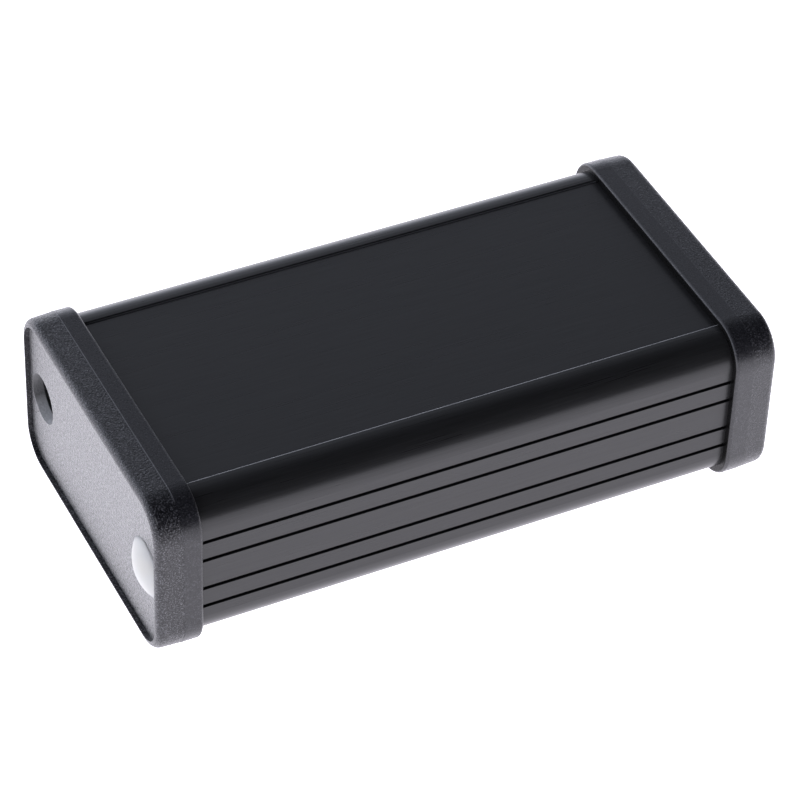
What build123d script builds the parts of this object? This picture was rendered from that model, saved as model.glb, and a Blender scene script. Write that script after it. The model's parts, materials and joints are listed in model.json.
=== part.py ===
from build123d import *

import os

# Pocket logic analyzer: a circuit board slid into a black aluminium channel, which is closed by a
# slide-in cover plate on top and by a plastic cap on each end, each held by two screws.
#
# Frame (millimetres): X runs along the case with the blank front cap at -X and the connectors at +X,
# Y runs across it, Z is up, and the origin is under the middle of the case, where the caps stand.

os.makedirs("parts", exist_ok=True)

FRONT, REAR = -1, 1
FAR, NEAR = 1, -1

# ---------------------------------------------------------------- driving dimensions

case_length = 80.0
case_width = 45.8
case_height = 24.4
case_corner = 4.5
wall = 1.6

# the end caps: a level band next to the case, a step at the mould's parting line, then a tapered zone
cap_proud = 1.2
cap_depth = 6.65
cap_band = 2.8
band_step = 0.03
cap_taper = 0.17
cap_front_round = 1.05
cap_inner_round = 0.5
rim_inset = 0.1
panel_sunk = 0.75
panel_thickness = 2.0

base_z = cap_proud
top_z = base_z + case_height
mid_z = base_z + case_height / 2
case_end = case_length / 2
cap_end = case_end + cap_depth
panel_x = cap_end - panel_sunk

# the cavity of the channel, below the cover plate
floor_z = base_z + wall
ledge_z = base_z + 20.9
cavity_width = case_width - 2 * wall
cavity_corner = case_corner - wall

# the cover plate and the lips that hold it
lip_edge = 17.6
lip_thickness = 1.0
lip_round = 0.3
ledge_edge = 18.2
slot_edge = 19.35
slot_floor_z = top_z - 2.3
slot_top_z = top_z - lip_thickness
slide_gap = 0.1
cover_sunk = 0.28
cover_edge_round = 0.1

# the four grooves along each side
groove_heights = (-5.8, -2.53, 2.53, 5.8)
groove_width = 0.6
groove_depth = 0.45

# screws, their channels and their recesses, at mid-height on both sides
screw_y = 18.4
screw_radius = 1.76
screw_core_radius = 1.32
screw_pitch = 1.3
screw_length = 12.7
screw_tip_length = 1.6
head_radius = 3.4
head_height = 2.2
head_below_panel = 1.6
channel_radius = 3.0
channel_bore = screw_radius + 0.06
channel_slot = 1.6
recess_radius = 3.75
boss_radius = 4.7
cross_length = 3.8
cross_width = 1.1
cross_depth = 1.5
tongue_reach = 2.0
tongue_width = 24.0
tongue_thickness = 1.2
clearance_radius = 2.0
head_top_x = panel_x - head_below_panel
seat_x = head_top_x - head_height

# the plug over the near front screw
plug_radius = 4.3
plug_height = 1.5
plug_skirt_radius = 3.65
plug_skirt_wall = 0.75
plug_skirt_depth = 1.4

# the circuit board and the ribs that hold it
board_thickness = 1.6
board_z = base_z + 6.3
board_top = board_z + board_thickness
board_half_length = 39.9
board_width = 42.2
board_tongue_x = 41.5
board_tongue_width = 27.0
hole_gap = 0.05
rib_thickness = 1.0
rib_edge = 19.4

# what looks out of the rear cap
port_end = panel_x + plug_height
usb_y = 8.9
usb_width = 7.7
usb_height = 3.95
usb_depth = 9.2
usb_wall = 0.3
usb_mid_z = board_top + usb_height / 2
usb_front_x = port_end
usb_back_x = usb_front_x - usb_depth
# the outline of the socket, as fractions of half its width and half its height
usb_outline = ((-1, 1), (-1, -0.35), (-0.72, -0.75), (-0.72, -1),
               (0.72, -1), (0.72, -0.75), (1, -0.35), (1, 1))
usb_tab_inset = 1.1
usb_tab_width = 1.0
usb_tab_slot = 0.7
usb_tab_x = (usb_back_x + usb_tab_inset, board_tongue_x - usb_tab_inset)
usb_tab_y = (usb_y - usb_width / 2 + usb_wall / 2, usb_y + usb_width / 2 - usb_wall / 2)
usb_base_size = (usb_width - 2 * usb_wall - 0.2, 2.2)
usb_base_depth = 2.2
usb_base_z = usb_mid_z + 0.5
usb_tongue_size = (4.6, 1.0)
usb_tongue_length = 5.6
usb_tongue_z = usb_mid_z + 0.35
usb_contact_size = (0.4, 0.15)
usb_contact_length = 5.2
usb_contact_pitch = 0.8
header_y = -5.05
header_width = 15.4
header_height = 8.0
header_depth = 9.0
header_front_x = 46.3
header_mid_z = board_top + header_height / 2
header_back_x = header_front_x - header_depth
header_wall = 0.9
header_cavity_depth = 6.5
header_key_width = 4.5
header_edge = 0.3
pin_pitch = 2.54
pin_width = 0.64
pin_fit = 0.04
pin_point = 0.15
pin_columns = 5
pin_columns_y = [header_y + (column - (pin_columns - 1) / 2) * pin_pitch for column in range(pin_columns)]
pin_tip_x = header_front_x - 0.7
pin_hole_radius = 0.52
lower_tail_x = header_back_x - 1.5
upper_tail_x = lower_tail_x - pin_pitch
tail_below_board = 1.4
window_gap = 0.3
window_corner = 0.5

# the status light and the clear pipe that carries it to the rear cap
light_y = usb_y
light_z = base_z + 16.45
light_radius = 1.5
light_end_x = cap_end - 0.2
light_end_round = 0.5
light_peg_y = 2.0
light_peg_radius = 0.45
light_foot_height = 1.0
light_foot_length = 2 * light_peg_y + 1.4
led_x = 36.2
led_height = 0.8
light_foot_z = board_top + led_height + 0.2

# chips: the body's bevel, its round mark, and the leads' thickness and height
chip_standoff = 0.1
chip_bevel = 0.18
chip_mark_radius = 0.4
chip_mark_depth = 0.08
chip_mark_inset = 1.1
lead_thickness = 0.15

# name: (x, y, length along X, width along Y, height, (leads per long side, leads per end), pitch,
#        lead width, reach)
chips = {
    "logic": (6.0, 3.0, 14.0, 14.0, 1.4, (16, 16), 0.8, 0.35, 1.0),
    "usb_controller": (24.5, 3.9, 10.0, 7.5, 1.4, (14, 0), 0.65, 0.3, 1.0),
    "memory": (-16.0, 2.0, 18.4, 10.2, 1.0, (22, 0), 0.8, 0.35, 0.8),
    "input_buffer": (20.5, -10.5, 7.8, 6.0, 1.2, (10, 0), 0.65, 0.3, 0.9),
}

# the voltage regulator, its three leads on one side and its wide tab on the other
regulator_x = 30.0
regulator_y = 12.6
regulator_length = 6.5
regulator_width = 3.5
regulator_height = 1.6
regulator_lead_pitch = 2.3
regulator_lead_width = 0.7
regulator_tab_width = 3.0
regulator_shoulder = 0.9
regulator_reach = 1.7

# small blocks: (length along X, width along Y, height, rounding) and where they stand
resistor_size = (1.6, 3.2, 0.6, 0.08)
resistor_places = [(x, y) for x in (27.6, 30.6) for y in (-12.2, -8.4)]
capacitor_size = (1.6, 0.8, 0.8, 0.1)
capacitor_places = [(x, y) for y in (-12.5, 13.5) for x in (-8.0, -1.0, 6.0, 13.0)]
capacitor_places += [(-30.0, y) for y in (-8.0, -2.0, 4.0, 10.0)]
bulk_size = (3.5, 2.8, 1.9, 0.15)
bulk_places = [(17.5, 13.2), (17.5, 9.6)]
inductor_size = (4.0, 4.0, 1.8, 0.3)
inductor_place = (23.5, 12.8)
led_size = (1.6, 0.9, led_height, 0.1)

# the crystal: a rounded can on a wider flange
crystal_place = (24.5, -3.6)
crystal_flange = (11.4, 4.7)
crystal_flange_height = 0.6
crystal_can_size = (10.6, 3.9)
crystal_can_height = 2.9
crystal_round = 0.4


def across(x):
    """Plane that cuts straight across the case at x, with its own x along +Y and its y up."""
    return Plane.YZ.offset(x)


def finish(part, name):
    """Label one finished piece and write it."""
    part.label = name
    export_step(part, f"parts/{name}.step")


# ---------------------------------------------------------------- channel and cover plate

with BuildPart() as case_extrusion:
    with BuildSketch(across(-case_end)) as channel_section:
        with Locations((0, mid_z)):
            RectangleRounded(case_width, case_height, case_corner)
        with Locations((0, (floor_z + ledge_z) / 2)):
            RectangleRounded(cavity_width, ledge_z - floor_z, cavity_corner, mode=Mode.SUBTRACT)
        with Locations((0, mid_z)):
            Rectangle(2 * ledge_edge, slot_floor_z - mid_z, align=(Align.CENTER, Align.MIN),
                      mode=Mode.SUBTRACT)
        with Locations((0, slot_floor_z)):
            Rectangle(2 * slot_edge, slot_top_z - slot_floor_z, align=(Align.CENTER, Align.MIN),
                      mode=Mode.SUBTRACT)
        with Locations((0, mid_z)):
            Rectangle(2 * lip_edge, case_height, align=(Align.CENTER, Align.MIN), mode=Mode.SUBTRACT)
        fillet(channel_section.vertices().group_by(Axis.Y)[-1].sort_by(lambda v: abs(v.X))[:2], lip_round)
        for side in (FAR, NEAR):
            # the ribs above and below the board's edge
            rib_width = cavity_width / 2 - rib_edge + wall / 2
            for rib_z in (board_z - slide_gap - rib_thickness, board_top + slide_gap):
                with Locations((side * (rib_edge + rib_width / 2), rib_z + rib_thickness / 2)):
                    Rectangle(rib_width, rib_thickness)
            # the screw channel, open towards the middle
            with Locations((side * screw_y, mid_z)):
                Circle(channel_radius)
            with Locations((side * (screw_y + channel_radius), mid_z)):
                Rectangle(wall, 2 * wall)
            with Locations((side * screw_y, mid_z)):
                Circle(channel_bore, mode=Mode.SUBTRACT)
            with Locations((side * (screw_y - channel_radius), mid_z)):
                Rectangle(2 * channel_radius, channel_slot, mode=Mode.SUBTRACT)
            for height in groove_heights:
                with Locations((side * case_width / 2, mid_z + height)):
                    Rectangle(2 * groove_depth, groove_width, mode=Mode.SUBTRACT)
    extrude(amount=case_length)
finish(case_extrusion.part, "case_extrusion")

with BuildPart() as cover_plate:
    with BuildSketch(across(-case_end)) as cover_section:
        with Locations((0, slot_floor_z + slide_gap)):
            Rectangle(2 * (slot_edge - slide_gap), slot_top_z - slot_floor_z - 2 * slide_gap,
                      align=(Align.CENTER, Align.MIN))
            Rectangle(2 * (lip_edge - slide_gap), top_z - cover_sunk - slot_floor_z - slide_gap,
                      align=(Align.CENTER, Align.MIN))
        fillet(cover_section.vertices().group_by(Axis.Y)[-1], cover_edge_round)
    extrude(amount=case_length)
finish(cover_plate.part, "cover_plate")


# ---------------------------------------------------------------- end caps

def cap_outline(proud):
    """Outline of a cap that stands proud of the case by this much all round, on the current plane."""
    with Locations((0, mid_z)):
        RectangleRounded(case_width + 2 * proud, case_height + 2 * proud, case_corner + proud)


def end_cap(end):
    """One blank cap, on the end of the case that `end` points to."""
    hollow_depth = cap_depth - panel_sunk - panel_thickness
    outer_proud = cap_proud - band_step
    with BuildPart() as cap:
        # the level band that the object stands on
        with BuildSketch(across(end * case_end)):
            cap_outline(cap_proud)
        extrude(amount=end * cap_band)
        inner_face = cap.faces().sort_by(Axis.X)[0 if end == REAR else -1]
        fillet(inner_face.outer_wire().edges(), cap_inner_round)
        # the tapered zone with its rounded front edge
        with BuildSketch(across(end * (case_end + cap_band))):
            cap_outline(outer_proud)
        with BuildSketch(across(end * cap_end)):
            cap_outline(outer_proud - cap_taper)
        loft(ruled=True)
        outer_face = cap.faces().sort_by(Axis.X)[-1 if end == REAR else 0]
        fillet(outer_face.outer_wire().edges(), cap_front_round)
        # the sunk end panel, inside a thin rim
        with BuildSketch(across(end * cap_end)):
            cap_outline(-rim_inset)
        extrude(amount=-end * panel_sunk, mode=Mode.SUBTRACT)
        # the hollow behind the panel, as wide as the channel's cavity
        with BuildSketch(across(end * case_end)):
            with Locations((0, mid_z)):
                RectangleRounded(cavity_width, case_height - 2 * wall, cavity_corner)
        extrude(amount=end * hollow_depth, mode=Mode.SUBTRACT)
        # the screw bosses, each standing on a rib that also stops the board
        with BuildSketch(across(end * case_end)):
            with Locations((-screw_y, mid_z), (screw_y, mid_z)):
                Circle(boss_radius)
            with Locations((-screw_y, floor_z), (screw_y, floor_z)):
                Rectangle(rib_thickness, mid_z - floor_z, align=(Align.CENTER, Align.MIN))
        extrude(amount=end * hollow_depth)
        with BuildSketch(across(end * seat_x)):
            with Locations((-screw_y, mid_z), (screw_y, mid_z)):
                Circle(recess_radius)
        extrude(amount=end * cap_depth, mode=Mode.SUBTRACT)
        with BuildSketch(across(end * case_end)):
            with Locations((-screw_y, mid_z), (screw_y, mid_z)):
                Circle(clearance_radius)
        extrude(amount=end * cap_depth, mode=Mode.SUBTRACT)
        # the tongues that reach into the channel, over its floor and under the cover plate
        with BuildSketch(across(end * (case_end - tongue_reach))):
            with Locations((0, floor_z + slide_gap)):
                Rectangle(tongue_width, tongue_thickness, align=(Align.CENTER, Align.MIN))
            with Locations((0, slot_floor_z)):
                Rectangle(tongue_width, tongue_thickness, align=(Align.CENTER, Align.MAX))
        extrude(amount=end * (tongue_reach + hollow_depth))
    return cap.part


with BuildPart() as front_cap:
    add(end_cap(FRONT))
finish(front_cap.part, "front_cap")

with BuildPart() as rear_cap:
    add(end_cap(REAR))
    with BuildSketch(across(case_end)):
        with Locations((usb_y, usb_mid_z)):
            RectangleRounded(usb_width + 2 * window_gap, usb_height + 2 * window_gap, window_corner)
        with Locations((header_y, header_mid_z)):
            RectangleRounded(header_width + 2 * window_gap, header_height + 2 * window_gap, window_corner)
        with Locations((light_y, light_z)):
            Circle(light_radius + slide_gap)
    extrude(amount=cap_depth, mode=Mode.SUBTRACT)
finish(rear_cap.part, "rear_cap")


# ---------------------------------------------------------------- screws and plug

def case_screw(end, side):
    """Pan-head self-tapping screw with a cross recess, its threads drawn as rings."""
    tip_x = seat_x - screw_length
    thread_points = []
    ring_x = seat_x - screw_pitch / 2
    while ring_x > tip_x + screw_tip_length + screw_pitch / 2:
        thread_points += [
            (end * (ring_x + screw_pitch / 4), screw_core_radius),
            (end * ring_x, screw_radius),
            (end * (ring_x - screw_pitch / 4), screw_core_radius),
        ]
        ring_x -= screw_pitch
    axis = Axis((0, side * screw_y, mid_z), (1, 0, 0))
    crown = head_height / 2
    crown_radius = (head_radius ** 2 + crown ** 2) / (2 * crown)
    shoulder_drop = crown_radius - (crown_radius ** 2 - head_radius ** 2 / 4) ** 0.5
    under_head = (end * seat_x, mid_z + head_radius)
    head_side = (end * (head_top_x - crown), mid_z + head_radius)
    shoulder = (end * (head_top_x - shoulder_drop), mid_z + head_radius / 2)
    head_top = (end * head_top_x, mid_z)
    with BuildPart() as screw:
        with BuildSketch(Plane.XZ.offset(-side * screw_y)):
            with BuildLine():
                Line(under_head, head_side)
                ThreePointArc(head_side, shoulder, head_top)
                Polyline(head_top, (end * tip_x, mid_z),
                         (end * (tip_x + screw_tip_length), mid_z + screw_core_radius),
                         *[(x, mid_z + r) for x, r in reversed(thread_points)],
                         (end * seat_x, mid_z + screw_core_radius), under_head)
            make_face()
        revolve(axis=axis)
        with BuildSketch(across(end * head_top_x)):
            with Locations((side * screw_y, mid_z)):
                Rectangle(cross_length, cross_width)
                Rectangle(cross_width, cross_length)
        extrude(amount=-end * cross_depth, mode=Mode.SUBTRACT)
    return screw.part


with BuildPart() as front_screw_far:
    add(case_screw(FRONT, FAR))
finish(front_screw_far.part, "front_screw_far")

with BuildPart() as front_screw_near:
    add(case_screw(FRONT, NEAR))
finish(front_screw_near.part, "front_screw_near")

with BuildPart() as rear_screw_far:
    add(case_screw(REAR, FAR))
finish(rear_screw_far.part, "rear_screw_far")

with BuildPart() as rear_screw_near:
    add(case_screw(REAR, NEAR))
finish(rear_screw_near.part, "rear_screw_near")

with BuildPart() as screw_cover_plug:
    with BuildSketch(Plane.XZ.offset(screw_y)):
        with BuildLine():
            dome_radius = (plug_radius ** 2 + plug_height ** 2) / (2 * plug_height)
            half_drop = dome_radius - (dome_radius ** 2 - plug_radius ** 2 / 4) ** 0.5
            plug_rim = (-panel_x, mid_z + plug_radius)
            plug_top = (-panel_x - plug_height, mid_z)
            skirt_inner = plug_skirt_radius - plug_skirt_wall
            skirt_end_x = -panel_x + plug_skirt_depth
            ThreePointArc(plug_rim, (-panel_x - plug_height + half_drop, mid_z + plug_radius / 2), plug_top)
            Polyline(plug_top, (-panel_x, mid_z), (-panel_x, mid_z + skirt_inner),
                     (skirt_end_x, mid_z + skirt_inner), (skirt_end_x, mid_z + plug_skirt_radius),
                     (-panel_x, mid_z + plug_skirt_radius), plug_rim)
        make_face()
    revolve(axis=Axis((0, -screw_y, mid_z), (1, 0, 0)))
finish(screw_cover_plug.part, "screw_cover_plug")


# ---------------------------------------------------------------- circuit board

with BuildPart() as main_board:
    with BuildSketch(Plane.XY.offset(board_z)):
        Rectangle(2 * board_half_length, board_width)
        with Locations((board_half_length, 0)):
            Rectangle(board_tongue_x - board_half_length, board_tongue_width,
                      align=(Align.MIN, Align.CENTER))
        with Locations(*[(x, y) for x in (lower_tail_x, upper_tail_x) for y in pin_columns_y]):
            Circle(pin_hole_radius, mode=Mode.SUBTRACT)
        with Locations(*[(x, y) for x in usb_tab_x for y in usb_tab_y]):
            SlotOverall(usb_tab_width + usb_tab_slot, usb_tab_slot, mode=Mode.SUBTRACT)
        with Locations((led_x, light_y - light_peg_y), (led_x, light_y + light_peg_y)):
            Circle(light_peg_radius + hole_gap, mode=Mode.SUBTRACT)
    extrude(amount=board_thickness)
finish(main_board.part, "main_board")


# ---------------------------------------------------------------- sockets at the rear

with BuildPart() as usb_socket_shell:
    with BuildSketch(across(usb_back_x)):
        with Locations((usb_y, usb_mid_z)):
            Polygon(*[(y * usb_width / 2, z * usb_height / 2) for y, z in usb_outline], align=None)
        offset(amount=-usb_wall, mode=Mode.SUBTRACT)
    extrude(amount=usb_depth)
    # the solder tabs that go down through the board
    with BuildSketch(Plane.XY.offset(usb_mid_z)):
        with Locations(*[(x, y) for x in usb_tab_x for y in usb_tab_y]):
            Rectangle(usb_tab_width, usb_wall)
    extrude(amount=board_z - tail_below_board / 2 - usb_mid_z)
finish(usb_socket_shell.part, "usb_socket_shell")

with BuildPart() as usb_socket_insulator:
    with BuildSketch(across(usb_back_x)):
        with Locations((usb_y, usb_base_z)):
            Rectangle(*usb_base_size)
    extrude(amount=usb_base_depth)
    with BuildSketch(across(usb_back_x + usb_base_depth)):
        with Locations((usb_y, usb_tongue_z)):
            Rectangle(*usb_tongue_size)
    extrude(amount=usb_tongue_length)
finish(usb_socket_insulator.part, "usb_socket_insulator")

usb_contact_z = usb_tongue_z - usb_tongue_size[1] / 2
with BuildPart() as usb_socket_contacts:
    with BuildSketch(across(usb_back_x + usb_base_depth)):
        with Locations(*[(usb_y + place * usb_contact_pitch, usb_contact_z) for place in range(-2, 3)]):
            Rectangle(*usb_contact_size, align=(Align.CENTER, Align.MAX))
    extrude(amount=usb_contact_length)
finish(usb_socket_contacts.part, "usb_socket_contacts")

with BuildPart() as probe_header_shroud:
    with BuildSketch(across(header_back_x)):
        with Locations((header_y, header_mid_z)):
            Rectangle(header_width, header_height)
    extrude(amount=header_depth)
    chamfer(probe_header_shroud.faces().sort_by(Axis.X)[-1].outer_wire().edges(), header_edge)
    # the cavity, with the keying slot in its upper wall
    with BuildSketch(across(header_front_x)):
        with Locations((header_y, header_mid_z)):
            Rectangle(header_width - 2 * header_wall, header_height - 2 * header_wall)
            Rectangle(header_key_width, header_height, align=(Align.CENTER, Align.MIN))
    extrude(amount=-header_cavity_depth, mode=Mode.SUBTRACT)
    with BuildSketch(across(header_back_x)):
        with Locations(*[(y, header_mid_z + row * pin_pitch / 2) for y in pin_columns_y for row in (-1, 1)]):
            Rectangle(pin_width + pin_fit, pin_width + pin_fit)
    extrude(amount=header_depth, mode=Mode.SUBTRACT)
finish(probe_header_shroud.part, "probe_header_shroud")


def bent_pin(y, z, tail_x):
    """One square pin: along X through the shroud, then down through the board behind it."""
    half = pin_width / 2
    with BuildPart() as pin:
        with BuildSketch(Plane.XZ.offset(half - y)):
            with Locations((tail_x - half, z - half)):
                Rectangle(pin_tip_x - tail_x + half, pin_width, align=(Align.MIN, Align.MIN))
            with Locations((tail_x, z + half)):
                Rectangle(pin_width, z + half - board_z + tail_below_board, align=(Align.CENTER, Align.MAX))
        extrude(amount=-pin_width)
        chamfer(pin.faces().sort_by(Axis.X)[-1].edges(), pin_point)
    return pin.part


with BuildPart() as probe_header_pins:
    for pin_y in pin_columns_y:
        add(bent_pin(pin_y, header_mid_z - pin_pitch / 2, lower_tail_x))
        add(bent_pin(pin_y, header_mid_z + pin_pitch / 2, upper_tail_x))
finish(probe_header_pins.part, "probe_header_pins")


# ---------------------------------------------------------------- chips

def chip_body(x, y, length, width, height):
    """Moulded chip body with sloped upper edges and a round mark at pin one."""
    with BuildPart() as body:
        with BuildSketch(Plane.XY.offset(board_top + chip_standoff)):
            with Locations((x, y)):
                Rectangle(length, width)
        extrude(amount=height)
        top = body.faces().sort_by(Axis.Z)[-1]
        chamfer(top.edges(), chip_bevel)
        with BuildSketch(Plane.XY.offset(board_top + chip_standoff + height)):
            with Locations((x - length / 2 + chip_mark_inset, y - width / 2 + chip_mark_inset)):
                Circle(chip_mark_radius)
        extrude(amount=-chip_mark_depth, mode=Mode.SUBTRACT)
    return body.part


def lead_row(plane, count, pitch, lead_width, shoulder_z, reach):
    """A row of bent leads that run outwards along the plane's x and stand on the board."""
    foot = reach * 0.5
    with BuildPart() as row:
        for place in range(count):
            shift = (place - (count - 1) / 2) * pitch
            with BuildSketch(plane.offset(shift - lead_width / 2)):
                with BuildLine():
                    Polyline((0, shoulder_z), (reach - foot, shoulder_z), (reach - foot, lead_thickness),
                             (reach, lead_thickness), (reach, 0), (reach - foot - lead_thickness, 0),
                             (reach - foot - lead_thickness, shoulder_z - lead_thickness),
                             (0, shoulder_z - lead_thickness), close=True)
                make_face()
            extrude(amount=lead_width)
    return row.part


def chip_leads(x, y, length, width, height, counts, pitch, lead_width, reach):
    """Leads on the two long sides, and on the two ends as well when `counts` says so."""
    shoulder_z = chip_standoff + height / 2
    along_y, along_x = counts
    with BuildPart() as leads:
        for side in (-1, 1):
            # a plane whose x points away from the chip's side and whose y is up
            out_y = Plane(origin=(x, y + side * width / 2, board_top), x_dir=(0, side, 0),
                          z_dir=(side, 0, 0))
            add(lead_row(out_y, along_y, pitch, lead_width, shoulder_z, reach))
            if along_x:
                out_x = Plane(origin=(x + side * length / 2, y, board_top), x_dir=(side, 0, 0),
                              z_dir=(0, -side, 0))
                add(lead_row(out_x, along_x, pitch, lead_width, shoulder_z, reach))
    return leads.part


with BuildPart() as logic_chip:
    add(chip_body(*chips["logic"][:5]))
finish(logic_chip.part, "logic_chip")

with BuildPart() as logic_chip_leads:
    add(chip_leads(*chips["logic"]))
finish(logic_chip_leads.part, "logic_chip_leads")

with BuildPart() as usb_controller_chip:
    add(chip_body(*chips["usb_controller"][:5]))
finish(usb_controller_chip.part, "usb_controller_chip")

with BuildPart() as usb_controller_leads:
    add(chip_leads(*chips["usb_controller"]))
finish(usb_controller_leads.part, "usb_controller_leads")

with BuildPart() as memory_chip:
    add(chip_body(*chips["memory"][:5]))
finish(memory_chip.part, "memory_chip")

with BuildPart() as memory_chip_leads:
    add(chip_leads(*chips["memory"]))
finish(memory_chip_leads.part, "memory_chip_leads")

with BuildPart() as input_buffer_chip:
    add(chip_body(*chips["input_buffer"][:5]))
finish(input_buffer_chip.part, "input_buffer_chip")

with BuildPart() as input_buffer_leads:
    add(chip_leads(*chips["input_buffer"]))
finish(input_buffer_leads.part, "input_buffer_leads")


# ---------------------------------------------------------------- small parts on the board

with BuildPart() as voltage_regulator:
    add(chip_body(regulator_x, regulator_y, regulator_length, regulator_width, regulator_height))
finish(voltage_regulator.part, "voltage_regulator")

with BuildPart() as voltage_regulator_leads:
    for place, side, width in ((-1, -1, regulator_lead_width), (0, -1, regulator_lead_width),
                               (1, -1, regulator_lead_width), (0, 1, regulator_tab_width)):
        lead_origin = (regulator_x + place * regulator_lead_pitch, regulator_y + side * regulator_width / 2,
                       board_top)
        lead_plane = Plane(origin=lead_origin, x_dir=(0, side, 0), z_dir=(side, 0, 0))
        add(lead_row(lead_plane, 1, 1, width, regulator_shoulder, regulator_reach))
finish(voltage_regulator_leads.part, "voltage_regulator_leads")


def block_parts(places, size):
    """Separate small rounded blocks that stand on the board."""
    length, width, height, rounding = size
    with BuildPart() as blocks:
        with BuildSketch(Plane.XY.offset(board_top)):
            with Locations(*places):
                Rectangle(length, width)
        extrude(amount=height)
        fillet(blocks.faces().filter_by(Axis.Z).group_by(Axis.Z)[-1].edges(), rounding)
    return blocks.part


with BuildPart() as input_resistor_arrays:
    add(block_parts(resistor_places, resistor_size))
finish(input_resistor_arrays.part, "input_resistor_arrays")

with BuildPart() as decoupling_capacitors:
    add(block_parts(capacitor_places, capacitor_size))
finish(decoupling_capacitors.part, "decoupling_capacitors")

with BuildPart() as bulk_capacitors:
    add(block_parts(bulk_places, bulk_size))
finish(bulk_capacitors.part, "bulk_capacitors")

with BuildPart() as power_inductor:
    add(block_parts([inductor_place], inductor_size))
finish(power_inductor.part, "power_inductor")

with BuildPart() as crystal_can:
    with BuildSketch(Plane.XY.offset(board_top)):
        with Locations(crystal_place):
            SlotOverall(*crystal_flange)
    extrude(amount=crystal_flange_height)
    with BuildSketch(Plane.XY.offset(board_top + crystal_flange_height)):
        with Locations(crystal_place):
            SlotOverall(*crystal_can_size)
    extrude(amount=crystal_can_height)
    fillet(crystal_can.faces().sort_by(Axis.Z)[-1].edges(), crystal_round)
finish(crystal_can.part, "crystal_can")

with BuildPart() as status_led:
    add(block_parts([(led_x, light_y)], led_size))
finish(status_led.part, "status_led")

with BuildPart() as light_pipe:
    with BuildSketch(Plane.XY.offset(light_foot_z)):
        with Locations((led_x, light_y)):
            Circle(light_radius)
    extrude(amount=light_z - light_foot_z - light_radius / 2)
    # a foot with two pegs that hold it on the board
    with BuildSketch(Plane.XY.offset(light_foot_z)):
        with Locations((led_x, light_y)):
            Rectangle(2 * light_radius, light_foot_length)
    extrude(amount=light_foot_height)
    with BuildSketch(Plane.XY.offset(board_z)):
        with Locations((led_x, light_y - light_peg_y), (led_x, light_y + light_peg_y)):
            Circle(light_peg_radius)
    extrude(amount=light_foot_z - board_z)
    with BuildSketch(across(led_x - light_radius)):
        with Locations((light_y, light_z)):
            Circle(light_radius)
    extrude(amount=light_end_x - led_x + light_radius)
    fillet(light_pipe.faces().sort_by(Axis.X)[-1].edges(), light_end_round)
finish(light_pipe.part, "light_pipe")
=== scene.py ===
import json
import math
import random

import bmesh
import bpy
from mathutils import Matrix, Vector


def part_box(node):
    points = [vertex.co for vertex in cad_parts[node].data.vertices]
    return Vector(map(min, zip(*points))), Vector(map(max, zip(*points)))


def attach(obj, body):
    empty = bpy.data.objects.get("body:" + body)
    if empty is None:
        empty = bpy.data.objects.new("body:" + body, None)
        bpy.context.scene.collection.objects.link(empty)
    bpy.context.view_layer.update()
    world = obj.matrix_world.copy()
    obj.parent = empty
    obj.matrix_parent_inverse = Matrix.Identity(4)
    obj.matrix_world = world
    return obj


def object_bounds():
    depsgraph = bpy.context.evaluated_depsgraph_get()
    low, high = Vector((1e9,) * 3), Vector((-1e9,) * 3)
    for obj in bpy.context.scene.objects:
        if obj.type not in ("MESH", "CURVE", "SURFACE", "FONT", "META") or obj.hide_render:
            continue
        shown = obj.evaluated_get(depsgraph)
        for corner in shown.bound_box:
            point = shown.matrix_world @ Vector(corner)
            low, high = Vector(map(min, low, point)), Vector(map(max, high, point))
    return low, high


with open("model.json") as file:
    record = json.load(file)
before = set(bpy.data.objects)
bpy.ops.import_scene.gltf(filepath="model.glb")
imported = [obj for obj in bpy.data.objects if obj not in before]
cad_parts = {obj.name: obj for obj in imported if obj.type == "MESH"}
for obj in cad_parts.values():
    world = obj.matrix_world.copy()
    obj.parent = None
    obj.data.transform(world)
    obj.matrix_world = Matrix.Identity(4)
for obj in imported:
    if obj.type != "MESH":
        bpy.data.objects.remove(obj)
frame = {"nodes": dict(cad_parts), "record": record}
cad_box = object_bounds()
scene = bpy.context.scene
scene.view_settings.view_transform = "Standard"

MM = 0.001
MIDDLE = (cad_box[0].z + cad_box[1].z) / 2
CASE_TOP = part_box("case_extrusion")[1].z
CASE_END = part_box("case_extrusion")[1].x
CAP_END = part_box("rear_cap")[1].x

# places on the channel's lips and on the caps
LIP_EDGE = 17.6 * MM
PARTING = CASE_END + 2.78 * MM
PANEL_X = CAP_END - 0.75 * MM
PANEL_HALF = (22.6 * MM, 11.9 * MM)
SCREW_Y = 18.4 * MM
BORE_RADIUS = 3.75 * MM

# wide enough for the camera to stay inside in every pose
ROOM_RADIUS = 4.0


# ---------------------------------------------------------------- shader nodes

def rgba(colour):
    """Four numbers for a colour or a grey level."""
    return (colour, colour, colour, 1) if isinstance(colour, float) else (*colour, 1)


def scaled(colour, factor):
    """Colour made darker or brighter, with no part of it above 1."""
    return tuple(min(1.0, part * factor) for part in colour)


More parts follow.
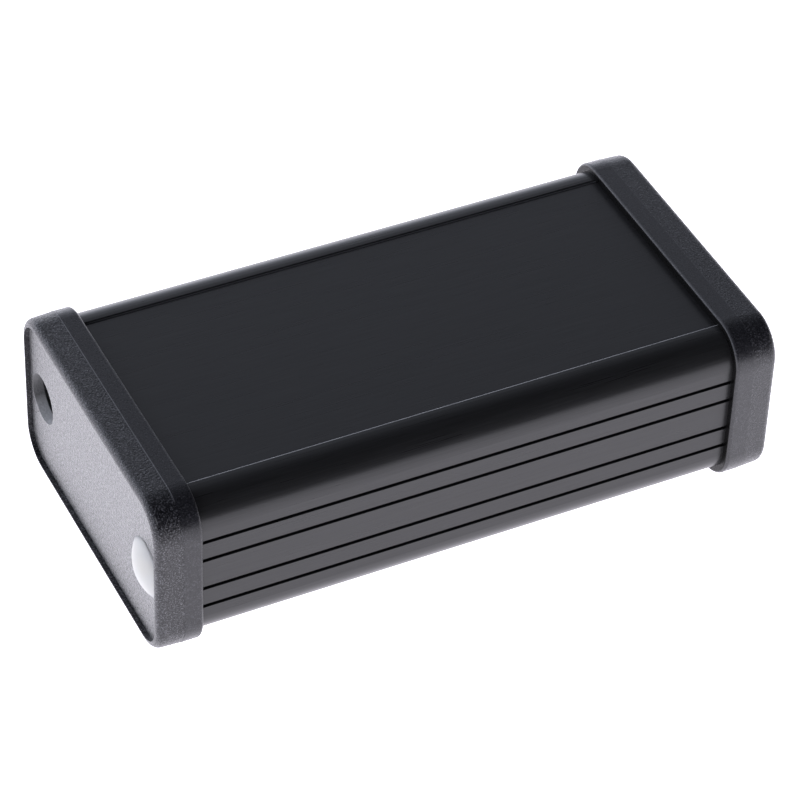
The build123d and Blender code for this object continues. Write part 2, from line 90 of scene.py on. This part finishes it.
class Graph:
    """Shader nodes of a material or of the world, with short ways to add and join them."""

    def __init__(self, tree, place):
        self.nodes, self.links = tree.nodes, tree.links
        self.place = self.nodes.new("ShaderNodeTexCoord").outputs[place]

    def give(self, socket, value):
        """Join a socket to the output of another node, or set it to a number or a colour."""
        if isinstance(value, bpy.types.NodeSocket):
            self.links.new(value, socket)
        else:
            socket.default_value = rgba(value) if socket.type == "RGBA" else value

    def add(self, kind, inputs, **settings):
        """New node with its settings, and its inputs by name or number."""
        node = self.nodes.new(f"ShaderNode{kind}")
        for setting, value in settings.items():
            setattr(node, setting, value)
        for socket, value in inputs.items():
            self.give(node.inputs[socket], value)
        return node

    def axes(self):
        """The x, y and z of the place."""
        return self.add("SeparateXYZ", {"Vector": self.place}).outputs

    def noise(self, size_mm, detail=3.0, stretch=(1, 1, 1), shift=0.0, roughness=0.5):
        """Noise whose lumps are about size_mm across, longer along an axis where stretch is above 1."""
        moved = self.add("Mapping", {"Vector": self.place, "Location": (shift, shift, shift),
                                     "Scale": [1 / length for length in stretch]})
        return self.add("TexNoise", {"Vector": moved.outputs["Vector"], "Scale": 1 / (size_mm * MM),
                                     "Detail": detail, "Roughness": roughness}).outputs["Fac"]

    def ramp(self, value, stops, blending="LINEAR"):
        """Colour ramp over value, with stops given as (position, colour or grey level)."""
        node = self.add("ValToRGB", {"Fac": value})
        node.color_ramp.interpolation = blending
        elements = node.color_ramp.elements
        while len(elements) < len(stops):
            elements.new(0.5)
        for element, (position, colour) in zip(elements, stops):
            element.position = position
            element.color = rgba(colour)
        return node.outputs["Color"]

    def span(self, value, low, high, from_low=0.0, from_high=1.0):
        """Value carried from one range to another."""
        return self.add("MapRange", {"Value": value, "From Min": from_low, "From Max": from_high,
                                     "To Min": low, "To Max": high}).outputs["Result"]

    def math(self, operation, *values):
        """A value worked out from one or two others, each of which may be a number."""
        return self.add("Math", dict(enumerate(values)), operation=operation).outputs["Value"]

    def vector(self, operation, *values):
        """Outputs of a node that works on one or two vectors."""
        return self.add("VectorMath", dict(enumerate(values)), operation=operation).outputs

    def away(self, value, centre=0.0):
        """How far value is from centre."""
        return self.math("ABSOLUTE", self.math("SUBTRACT", value, centre))

    def within(self, value, inner, outer):
        """1 where value is below inner, 0 where it is above outer."""
        return self.span(value, 1.0, 0.0, inner, outer)

    def times(self, first, *others):
        """Product of values."""
        for other in others:
            first = self.math("MULTIPLY", first, other)
        return first

    def blend(self, share, a, b):
        """Colour a or b, or between, by share; either may be a grey level."""
        return self.add("Mix", {"Factor": share, "A": a, "B": b}, data_type="RGBA").outputs["Result"]

    def bump(self, height, depth_mm):
        """Normal of a surface roughened by height, depth_mm deep where height is 1."""
        return self.add("Bump", {"Height": height, "Distance": depth_mm * MM}).outputs["Normal"]


class Surface(Graph):
    """A material, worked out in the object's own coordinates, in metres."""

    def __init__(self, name, colour, roughness, metallic=0.0, ior=1.5):
        self.material = bpy.data.materials.new(name)
        self.material.use_nodes = True
        super().__init__(self.material.node_tree, "Object")
        self.shader = self.nodes["Principled BSDF"]
        self.set("Base Color", colour)
        self.set("Roughness", roughness)
        self.set("Metallic", metallic)
        self.set("IOR", ior)

    def set(self, socket, value):
        """Give the shader's socket a number, a colour or the output of another node."""
        self.give(self.shader.inputs[socket], value)


# ---------------------------------------------------------------- camera and light

def make_camera():
    """Long-lens camera at the photograph's angle: from the front left and above, rolled slightly."""
    azimuth, elevation, roll = math.radians(-27.31), math.radians(41.27), math.radians(2.285)
    distance = 0.5209
    aim_right, aim_down = 0.30 * MM, 1.28 * MM
    back = Vector((math.sin(azimuth) * math.cos(elevation), -math.cos(azimuth) * math.cos(elevation),
                   math.sin(elevation)))
    right = Vector((0, 0, 1)).cross(back).normalized()
    up = back.cross(right)
    tilted_right = right * math.cos(roll) + up * math.sin(roll)
    tilted_up = back.cross(tilted_right)
    centre = (cad_box[0] + cad_box[1]) / 2
    aim = centre + tilted_right * aim_right - tilted_up * aim_down
    data = bpy.data.cameras.new("camera")
    data.sensor_width = 36
    data.lens = 167.6
    camera = bpy.data.objects.new("camera", data)
    scene.collection.objects.link(camera)
    pose = Matrix((tilted_right, tilted_up, back)).transposed().to_4x4()
    pose.translation = aim + back * distance
    camera.matrix_world = pose
    scene.camera = camera


def glowing(name, colour, strength, base):
    """Plain surface of grey level base that gives off its own light."""
    material = bpy.data.materials.new(name)
    material.use_nodes = True
    shader = material.node_tree.nodes["Principled BSDF"]
    shader.inputs["Base Color"].default_value = rgba(base)
    shader.inputs["Roughness"].default_value = 0.8
    shader.inputs["Emission Color"].default_value = rgba(colour)
    shader.inputs["Emission Strength"].default_value = strength
    return material


def make_floor():
    """Plain white light table that the object stands on, wide enough to meet the wall."""
    below = 0.02 * MM
    bpy.ops.mesh.primitive_plane_add(size=2.1 * ROOM_RADIUS, location=(0, 0, cad_box[0].z - below))
    floor = bpy.context.object
    floor.name = "floor"
    floor.data.materials.append(glowing("floor_white", (1.0, 0.975, 1.06), strength=1.8, base=0.8))


def make_backdrop():
    """White studio wall all round, which the camera sees and the object doesn't reflect."""
    bpy.ops.mesh.primitive_uv_sphere_add(segments=48, ring_count=24, radius=ROOM_RADIUS, location=(0, 0, 0))
    backdrop = bpy.context.object
    backdrop.name = "backdrop"
    backdrop.data.materials.append(glowing("backdrop_white", (1.0, 1.0, 1.0), strength=1.5, base=0.0))
    for ray in ("diffuse", "glossy", "transmission", "volume_scatter", "shadow"):
        setattr(backdrop, f"visible_{ray}", False)


def make_light():
    """Studio room as the object's surfaces show it: bright low down at the back, dark towards the camera."""
    brightest = 5.0
    bright_side = (-0.35, 0.36, 0)
    world = bpy.data.worlds.new("room")
    world.use_nodes = True
    room = Graph(world.node_tree, "Generated")
    _, _, up = room.axes()
    towards_back = room.vector("DOT_PRODUCT", room.place, bright_side)["Value"]
    # level over height above the horizon, as a share of the brightest
    height = room.ramp(up, ((0.0, 1.0), (0.10, 0.62), (0.28, 0.36), (0.46, 0.27), (0.68, 0.18), (1.0, 0.12)),
                       blending="EASE")
    # level from the camera's side round to the back, brightest at the back left
    around = room.ramp(room.math("ADD", towards_back, 0.5),
                       ((0.05, 0.03), (0.36, 0.07), (0.62, 0.476), (0.90, 0.9)), blending="EASE")
    background = room.nodes["Background"]
    room.give(background.inputs["Color"], (0.86, 0.90, 1.04))
    room.give(background.inputs["Strength"], room.times(height, around, brightest))
    scene.world = world


# ---------------------------------------------------------------- materials

def anodised(name, colour, grain_depth):
    """Satin black anodised aluminium with the fine lengthwise grain of the die or of brushing."""
    look = Surface(name, colour, 0.30, ior=1.45)
    _, y, z = look.axes()
    grain = look.noise(0.14, detail=2, stretch=(60, 1, 1))
    streak = look.noise(0.8, detail=2, stretch=(40, 1, 1), shift=3.1)
    shade = look.ramp(grain, ((0.3, scaled(colour, 0.8)), (0.7, scaled(colour, 1.25))))
    # painted highlight on the near lip's edge, and painted light on the far lip's wall, paler to lift the
    # shade under the lip
    near_edge, far_wall = -LIP_EDGE - 0.08 * MM, LIP_EDGE - 0.03 * MM
    lip_edge_painted_highlight = look.times(look.within(look.away(y, near_edge), 0.14 * MM, 0.26 * MM),
                      look.span(z, 0.0, 1.0, CASE_TOP - 0.6 * MM, CASE_TOP - 0.3 * MM))
    # far lip's wall: painted light, paler to lift the shade under the lip
    wall = look.within(look.away(y, far_wall), 0.08 * MM, 0.10 * MM)
    look.set("Base Color", look.blend(lip_edge_painted_highlight, look.blend(wall, shade, (0.13, 0.13, 0.135)), (0.34, 0.34, 0.35)))
    look.set("Roughness", look.span(look.math("ADD", grain, streak), 0.27, 0.33, 0.7, 1.3))
    look.set("Normal", look.bump(grain, grain_depth))
    return look.material


def cap_plastic():
    """Black plastic moulded against a spark-eroded tool, rough outside and smoother on the inner band."""
    look = Surface("cap_black", (0.018, 0.018, 0.021), 0.34, ior=1.52)
    x, y, z = look.axes()
    along, above = look.away(x), look.math("SUBTRACT", z, MIDDLE)
    rear_share = 0.5
    bore_reach, shade_depth = 3.7 * MM, 1.6 * MM

    # where each finish lies: the outer zone, the bores, the sunk end panels, and the faces against the case,
    # which carry painted shade
    rougher = look.span(x, 1.0, rear_share, -1 * MM, 1 * MM)
    outer = look.times(look.span(along, 0.2, 1.0, PARTING - 0.08 * MM, PARTING + 0.12 * MM), rougher)
    across = look.math("SUBTRACT", look.away(y), SCREW_Y)
    off_axis = look.math("SQRT", look.math("ADD", look.times(across, across), look.times(above, above)))
    in_bore = look.times(look.within(off_axis, BORE_RADIUS + 0.02 * MM, BORE_RADIUS + 0.05 * MM),
                         look.within(along, PANEL_X - 0.1 * MM, PANEL_X + 0.1 * MM))
    # deeper in the bore: painted shade, darker with depth
    deep = look.within(along, PANEL_X - shade_depth, PANEL_X - shade_depth + 0.15 * MM)
    in_panel = look.times(look.within(look.away(y), PANEL_HALF[0], PANEL_HALF[0] + 0.1 * MM),
                          look.within(look.away(above), PANEL_HALF[1], PANEL_HALF[1] + 0.1 * MM),
                          look.span(along, 0.0, 1.0, PANEL_X - 0.10 * MM, PANEL_X - 0.05 * MM),
                          look.within(along, PANEL_X + 0.05 * MM, PANEL_X + 0.10 * MM))
    # faces against the case: painted shade, near black in the gap between cap and case
    gap = look.within(along, CASE_END + 0.02 * MM, CASE_END + 0.08 * MM)

    # colour: pale flecks on the grain, bores painted paler low down as painted light and darker with depth as
    # painted shade, faces against the case painted near black as painted shade, and the line on top where the
    # mould's halves met painted paler as a painted highlight
    grain = look.noise(0.30, detail=2, roughness=0.6)
    fine = look.noise(0.20, detail=2, shift=5.3)
    coarse = look.noise(0.45, detail=3, roughness=0.6, shift=2.7)
    black = look.ramp(fine, ((0.54, (0.012, 0.012, 0.015)), (0.70, (0.04, 0.04, 0.046))))
    speckled = look.ramp(fine, ((0.51, (0.002, 0.002, 0.004)), (0.66, (0.11, 0.11, 0.12))))
    panel = look.ramp(coarse, ((0.42, 0.0), (0.60, 0.125)))
    # the line on top where the mould's halves met, painted paler as a highlight
    parting_line_painted_highlight = look.times(look.within(look.away(along, PARTING), 0.03 * MM, 0.09 * MM),
                         look.span(z, 0.0, 1.0, CASE_TOP + 0.4 * MM, CASE_TOP + 1.0 * MM), rougher, rougher)
    # bore's wall painted paler low down as painted light, darker higher up
    bore_painted_light = look.ramp(look.span(above, 0.0, 1.0, -bore_reach, bore_reach),
                        ((0.0, 0.75), (0.10, 0.55), (0.24, 0.16), (0.40, 0.16), (0.60, 0.22)))
    outside = look.blend(gap, look.blend(outer, black, speckled), 0.004)
    outside = look.blend(parting_line_painted_highlight, outside, (0.17, 0.17, 0.18))
    bore = look.blend(deep, bore_painted_light, 0.005)
    look.set("Base Color", look.blend(in_bore, look.blend(in_panel, outside, panel), bore))

    # gloss: dull in the bores and the gap, strongest on the end panels, which take the light at a low angle
    plain_ior = look.span(x, 1.47, 1.53, -1 * MM, 1 * MM)
    extra_ior = look.math("SUBTRACT", look.times(in_panel, 0.53), look.times(gap, 0.3))
    look.set("IOR", look.math("ADD", plain_ior, extra_ior))
    dull = look.span(grain, 0.24, 0.44, 0.35, 0.65)
    look.set("Roughness", look.math("MAXIMUM", dull, look.times(in_bore, 0.8)))
    look.set("Sheen Weight", look.span(gap, 0.12, 0.0))
    look.set("Sheen Roughness", 0.35)

    # height about zero, so that the rough zones neither stand proud nor sink
    outer_height = look.math("SUBTRACT", look.math("ADD", grain, look.times(fine, 0.6)), 0.8)
    panel_height = look.times(look.math("SUBTRACT", coarse, 0.5), in_panel, 1.43)
    height = look.math("ADD", look.times(outer_height, outer), panel_height)
    look.set("Normal", look.bump(height, 0.10))
    return look.material


def white_plastic():
    """White plastic that lets some light into it."""
    look = Surface("plug_white", (0.45, 0.45, 0.42), 0.5)
    cloud = look.noise(2.5, detail=2)
    look.set("Base Color", look.ramp(cloud, ((0.3, (0.435, 0.44, 0.42)), (0.7, (0.46, 0.455, 0.42)))))
    look.set("Roughness", look.span(cloud, 0.47, 0.53, 0.3, 0.7))
    look.set("Subsurface Weight", 1.0)
    look.set("Subsurface Radius", (1.0, 0.95, 0.9))
    look.set("Subsurface Scale", 3 * MM)
    # the light spreads through the plug, so its dome is shaded as if it were flatter
    outwards = look.add("VectorTransform", {"Vector": (-0.8, 0, 0)},
                        vector_type="VECTOR", convert_from="OBJECT", convert_to="WORLD")
    normal = look.nodes.new("ShaderNodeNewGeometry").outputs["Normal"]
    flatter = look.vector("ADD", normal, outwards.outputs["Vector"])["Vector"]
    look.set("Normal", look.vector("NORMALIZE", flatter)["Vector"])
    return look.material


def plain_grain(name, colour, roughness, metallic=0.0, ior=1.5, size_mm=0.4, spread=0.25, depth_mm=0.01):
    """A surface with a slight grain in its colour, gloss and height."""
    look = Surface(name, colour, roughness, metallic, ior)
    grain = look.noise(size_mm)
    shade = look.ramp(grain, ((0.3, scaled(colour, 1 - spread)), (0.7, scaled(colour, 1 + spread))))
    look.set("Base Color", shade)
    look.set("Roughness", look.span(grain, roughness * 0.85, roughness * 1.15, 0.3, 0.7))
    look.set("Normal", look.bump(grain, depth_mm))
    return look.material


def plating(name, colour, roughness, spread=0.08, depth_mm=0.01):
    """Bare or plated metal."""
    return plain_grain(name, colour, roughness, metallic=1.0, spread=spread, depth_mm=depth_mm)


def clear_plastic():
    """Clear plastic of the light pipe, slightly cloudy."""
    look = Surface("pipe_clear", (0.93, 0.96, 0.97), 0.08)
    look.set("Transmission Weight", 0.9)
    look.set("Roughness", look.span(look.noise(3.0, detail=1), 0.06, 0.14, 0.3, 0.7))
    return look.material


def solder_mask():
    """Green board with rows of fine tracks under the mask."""
    look = Surface("board_green", (0.01, 0.09, 0.04), 0.3)
    tracks = look.add("TexVoronoi", {"Vector": look.place, "Scale": 1 / (3.2 * MM), "Randomness": 0.7},
                      distance="CHEBYCHEV").outputs["Distance"]
    look.set("Base Color", look.ramp(tracks, ((0.36, (0.008, 0.085, 0.035)), (0.42, (0.02, 0.17, 0.07)))))
    look.set("Roughness", look.span(look.noise(1.5), 0.22, 0.34, 0.3, 0.7))
    return look.material


def paint_nodes():
    """Give every CAD node the material of its slot."""
    slots = {
        "anodised_case": anodised("case_black", (0.018, 0.018, 0.0185), 0.0012),
        "anodised_plate": anodised("plate_black", (0.016, 0.016, 0.017), 0.0016),
        "cap_plastic": cap_plastic(),
        "black_screw": plain_grain("screw_black", (0.01, 0.01, 0.011), 0.35, ior=1.25),
        "white_plug": white_plastic(),
        "circuit_board": solder_mask(),
        "plated_steel": plating("steel_plated", (0.62, 0.61, 0.59), 0.28, spread=0.06, depth_mm=0.004),
        "black_insulator": plain_grain("insulator_black", (0.02, 0.02, 0.021), 0.45),
        "gold_contact": plating("contact_gold", (0.85, 0.60, 0.25), 0.25, depth_mm=0.003),
        "chip_epoxy": plain_grain("epoxy_black", (0.022, 0.022, 0.024), 0.5, size_mm=0.15),
        "tinned_lead": plating("lead_tinned", (0.62, 0.63, 0.64), 0.3, depth_mm=0.004),
        "resistor_body": plain_grain("resistor_dark", (0.03, 0.03, 0.035), 0.3),
        "capacitor_body": plain_grain("capacitor_tan", (0.36, 0.24, 0.14), 0.35),
        "tantalum_body": plain_grain("tantalum_orange", (0.62, 0.35, 0.06), 0.45),
        "ferrite_body": plain_grain("ferrite_grey", (0.06, 0.06, 0.062), 0.6, size_mm=0.2),
        "led_body": plain_grain("led_pale", (0.75, 0.80, 0.66), 0.25),
        "clear_pipe": clear_plastic(),
    }
    for part in frame["record"]["subparts"]:
        node = frame["nodes"][part["node"]]
        node.data.materials.clear()
        node.data.materials.append(slots[part["material_slot"]])


# ---------------------------------------------------------------- small things on the circuit board

board_low, board_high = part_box("main_board")
CHIP_LEADS = ("logic_chip_leads", "usb_controller_leads", "memory_chip_leads", "input_buffer_leads",
              "voltage_regulator_leads")
SKIN = 0.03 * MM


def lumps(node):
    """The separate lumps of a CAD node's mesh, each as a list of points."""
    mesh = frame["nodes"][node].data
    same_place = 0.0001 * MM
    leader = list(range(len(mesh.vertices)))

    def lead(index):
        while leader[index] != index:
            index = leader[index]
        return index

    seen = {}
    for vertex in mesh.vertices:
        twin = seen.setdefault(tuple(round(c / same_place) for c in vertex.co), vertex.index)
        leader[lead(vertex.index)] = lead(twin)
    for edge in mesh.edges:
        leader[lead(edge.vertices[0])] = lead(edge.vertices[1])
    groups = {}
    for vertex in mesh.vertices:
        groups.setdefault(lead(vertex.index), []).append(vertex.co.copy())
    return list(groups.values())


def clusters(points, reach):
    """Points grouped so that those nearer than reach in plan are together."""
    groups = []
    for point in points:
        near = [group for group in groups if any((point.xy - other.xy).length < reach for other in group)]
        merged = [point] + [other for group in near for other in group]
        groups = [group for group in groups if group not in near] + [merged]
    return groups


def extent(points):
    """Lowest and highest corner of some points."""
    return [Vector([pick(point[axis] for point in points) for axis in range(3)]) for pick in (min, max)]


def block(mesh, low, high):
    """Box between two corners."""
    size = Matrix.Diagonal((*(high - low), 1))
    bmesh.ops.create_cube(mesh, size=1, matrix=Matrix.Translation((low + high) / 2) @ size)


def disc(mesh, place, radius, thickness, top_radius=None):
    """Short cylinder or cone standing on place; a negative thickness hangs from it."""
    flip = Matrix.Rotation(math.pi, 4, "X") if thickness < 0 else Matrix()
    middle = Matrix.Translation(place + Vector((0, 0, thickness / 2)))
    bmesh.ops.create_cone(mesh, cap_ends=True, segments=20, radius1=radius, depth=abs(thickness),
                          radius2=radius if top_radius is None else top_radius, matrix=middle @ flip)


def on_board(name, mesh, material):
    """Turn what was built into a piece that moves with the board."""
    data = bpy.data.meshes.new(name)
    mesh.to_mesh(data)
    mesh.free()
    piece = bpy.data.objects.new(name, data)
    scene.collection.objects.link(piece)
    data.materials.append(material)
    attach(piece, "board")


def add_solder():
    """Pads under the chips' leads and the ends of the small parts, and joints round the pins."""
    margin = Vector((0.12, 0.12, 0)) * MM
    foot_height = 0.2 * MM
    pad_in, pad_out = 0.3 * MM, 0.4 * MM
    pin_middle, leg_reach = 0.32 * MM, 1.2 * MM
    joint_radius, joint_top, joint_height = 0.85 * MM, 0.40 * MM, 0.55 * MM
    ring_radius = 0.80 * MM
    mesh = bmesh.new()
    for node in CHIP_LEADS:
        for lump in lumps(node):
            low, high = extent([point for point in lump if point.z < board_high.z + foot_height])
            low.z, high.z = board_high.z - SKIN, board_high.z + SKIN
            block(mesh, low - margin, high + margin)
    for node in ("decoupling_capacitors", "bulk_capacitors", "power_inductor", "status_led"):
        for lump in lumps(node):
            low, high = extent(lump)
            long_axis = 0 if high.x - low.x > high.y - low.y else 1
            for end, outwards in ((low, -1), (high, 1)):
                pad_low, pad_high = low.copy(), high.copy()
                pad_low[long_axis] = end[long_axis] - (pad_out if outwards < 0 else pad_in)
                pad_high[long_axis] = end[long_axis] + (pad_in if outwards < 0 else pad_out)
                pad_low.z, pad_high.z = board_high.z - SKIN, board_high.z + SKIN
                block(mesh, pad_low, pad_high)
    tails = [extent(lump) for lump in lumps("probe_header_pins")]
    tails = [Vector((low.x + pin_middle, (low.y + high.y) / 2, low.z)) for low, high in tails]
    below = [point for lump in lumps("usb_socket_shell") for point in lump if point.z < board_low.z]
    legs = clusters(below, leg_reach)
    tails += [sum(extent(leg), Vector()) / 2 for leg in legs]
    for tail in tails:
        disc(mesh, Vector((tail.x, tail.y, board_low.z)), joint_radius, -joint_height, joint_top)
        disc(mesh, Vector((tail.x, tail.y, board_high.z)), ring_radius, SKIN)
    on_board("solder", mesh, plating("solder_bright", (0.60, 0.61, 0.62), 0.25))


def add_print():
    """White outlines round the chips, the crystal, the resistor arrays and the inductor, each with a dot by
    its first lead.
    """
    line = 0.15 * MM
    dot_radius, dot_west, dot_north = 0.3 * MM, 0.7 * MM, 0.4 * MM
    mesh = bmesh.new()
    floor, top = board_high.z, board_high.z + SKIN / 2
    outlined = [(node, 0.6) for node in CHIP_LEADS]
    outlined += [("crystal_can", 0.5), ("input_resistor_arrays", 0.5), ("power_inductor", 0.8)]
    for node, gap in outlined:
        low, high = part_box(node)
        west, south = low.x - gap * MM, low.y - gap * MM
        east, north = high.x + gap * MM, high.y + gap * MM
        for x in (west, east):
            block(mesh, Vector((x, south, floor)), Vector((x + line, north + line, top)))
        for y in (south, north):
            block(mesh, Vector((west, y, floor)), Vector((east + line, y + line, top)))
        disc(mesh, Vector((west - dot_west, south + dot_north, floor)), dot_radius, top - floor)
    on_board("board_print", mesh, plain_grain("print_white", (0.80, 0.80, 0.78), 0.5, spread=0.05))


def add_vias():
    """Small plated vias in the free parts of the board, on both faces, each a ring with a dark disc painted
    in it as the shade of its hole.
    """
    reach_x, reach_y, apart = 36, 18, 1.8 * MM
    tries, most = 900, 90
    ring_radius, hole_radius = 0.32 * MM, 0.15 * MM
    around, over = MM, 2 * MM
    passed_over = ("main_board", "case_extrusion", "cover_plate")
    chance = random.Random(11)
    taken = []
    for part in frame["record"]["subparts"]:
        low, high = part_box(part["node"])
        if part["node"] not in passed_over and low.z < board_high.z + over:
            taken.append((low.x - around, high.x + around, low.y - around, high.y + around))
    rings, holes = bmesh.new(), bmesh.new()
    spots = []
    for _ in range(tries):
        spot = Vector((chance.uniform(-reach_x, reach_x) * MM, chance.uniform(-reach_y, reach_y) * MM, 0))
        clear = not any(west < spot.x < east and south < spot.y < north for west, east, south, north in taken)
        if clear and all((spot - other).length > apart for other in spots) and len(spots) < most:
            spots.append(spot)
            for face, out in ((board_high.z, 1), (board_low.z, -1)):
                disc(rings, spot + Vector((0, 0, face)), ring_radius, out * SKIN / 2)
                # dark disc painted as the shade inside the hole; no hole is cut
                disc(holes, spot + Vector((0, 0, face)), hole_radius, out * SKIN)
    on_board("via_rings", rings, plating("via_gold", (0.80, 0.58, 0.26), 0.3))
    on_board("via_holes", holes, plain_grain("via_hole_painted_shade", (0.03, 0.025, 0.02), 0.6))


make_camera()
make_floor()
make_backdrop()
make_light()
paint_nodes()
add_solder()
add_print()
add_vias()
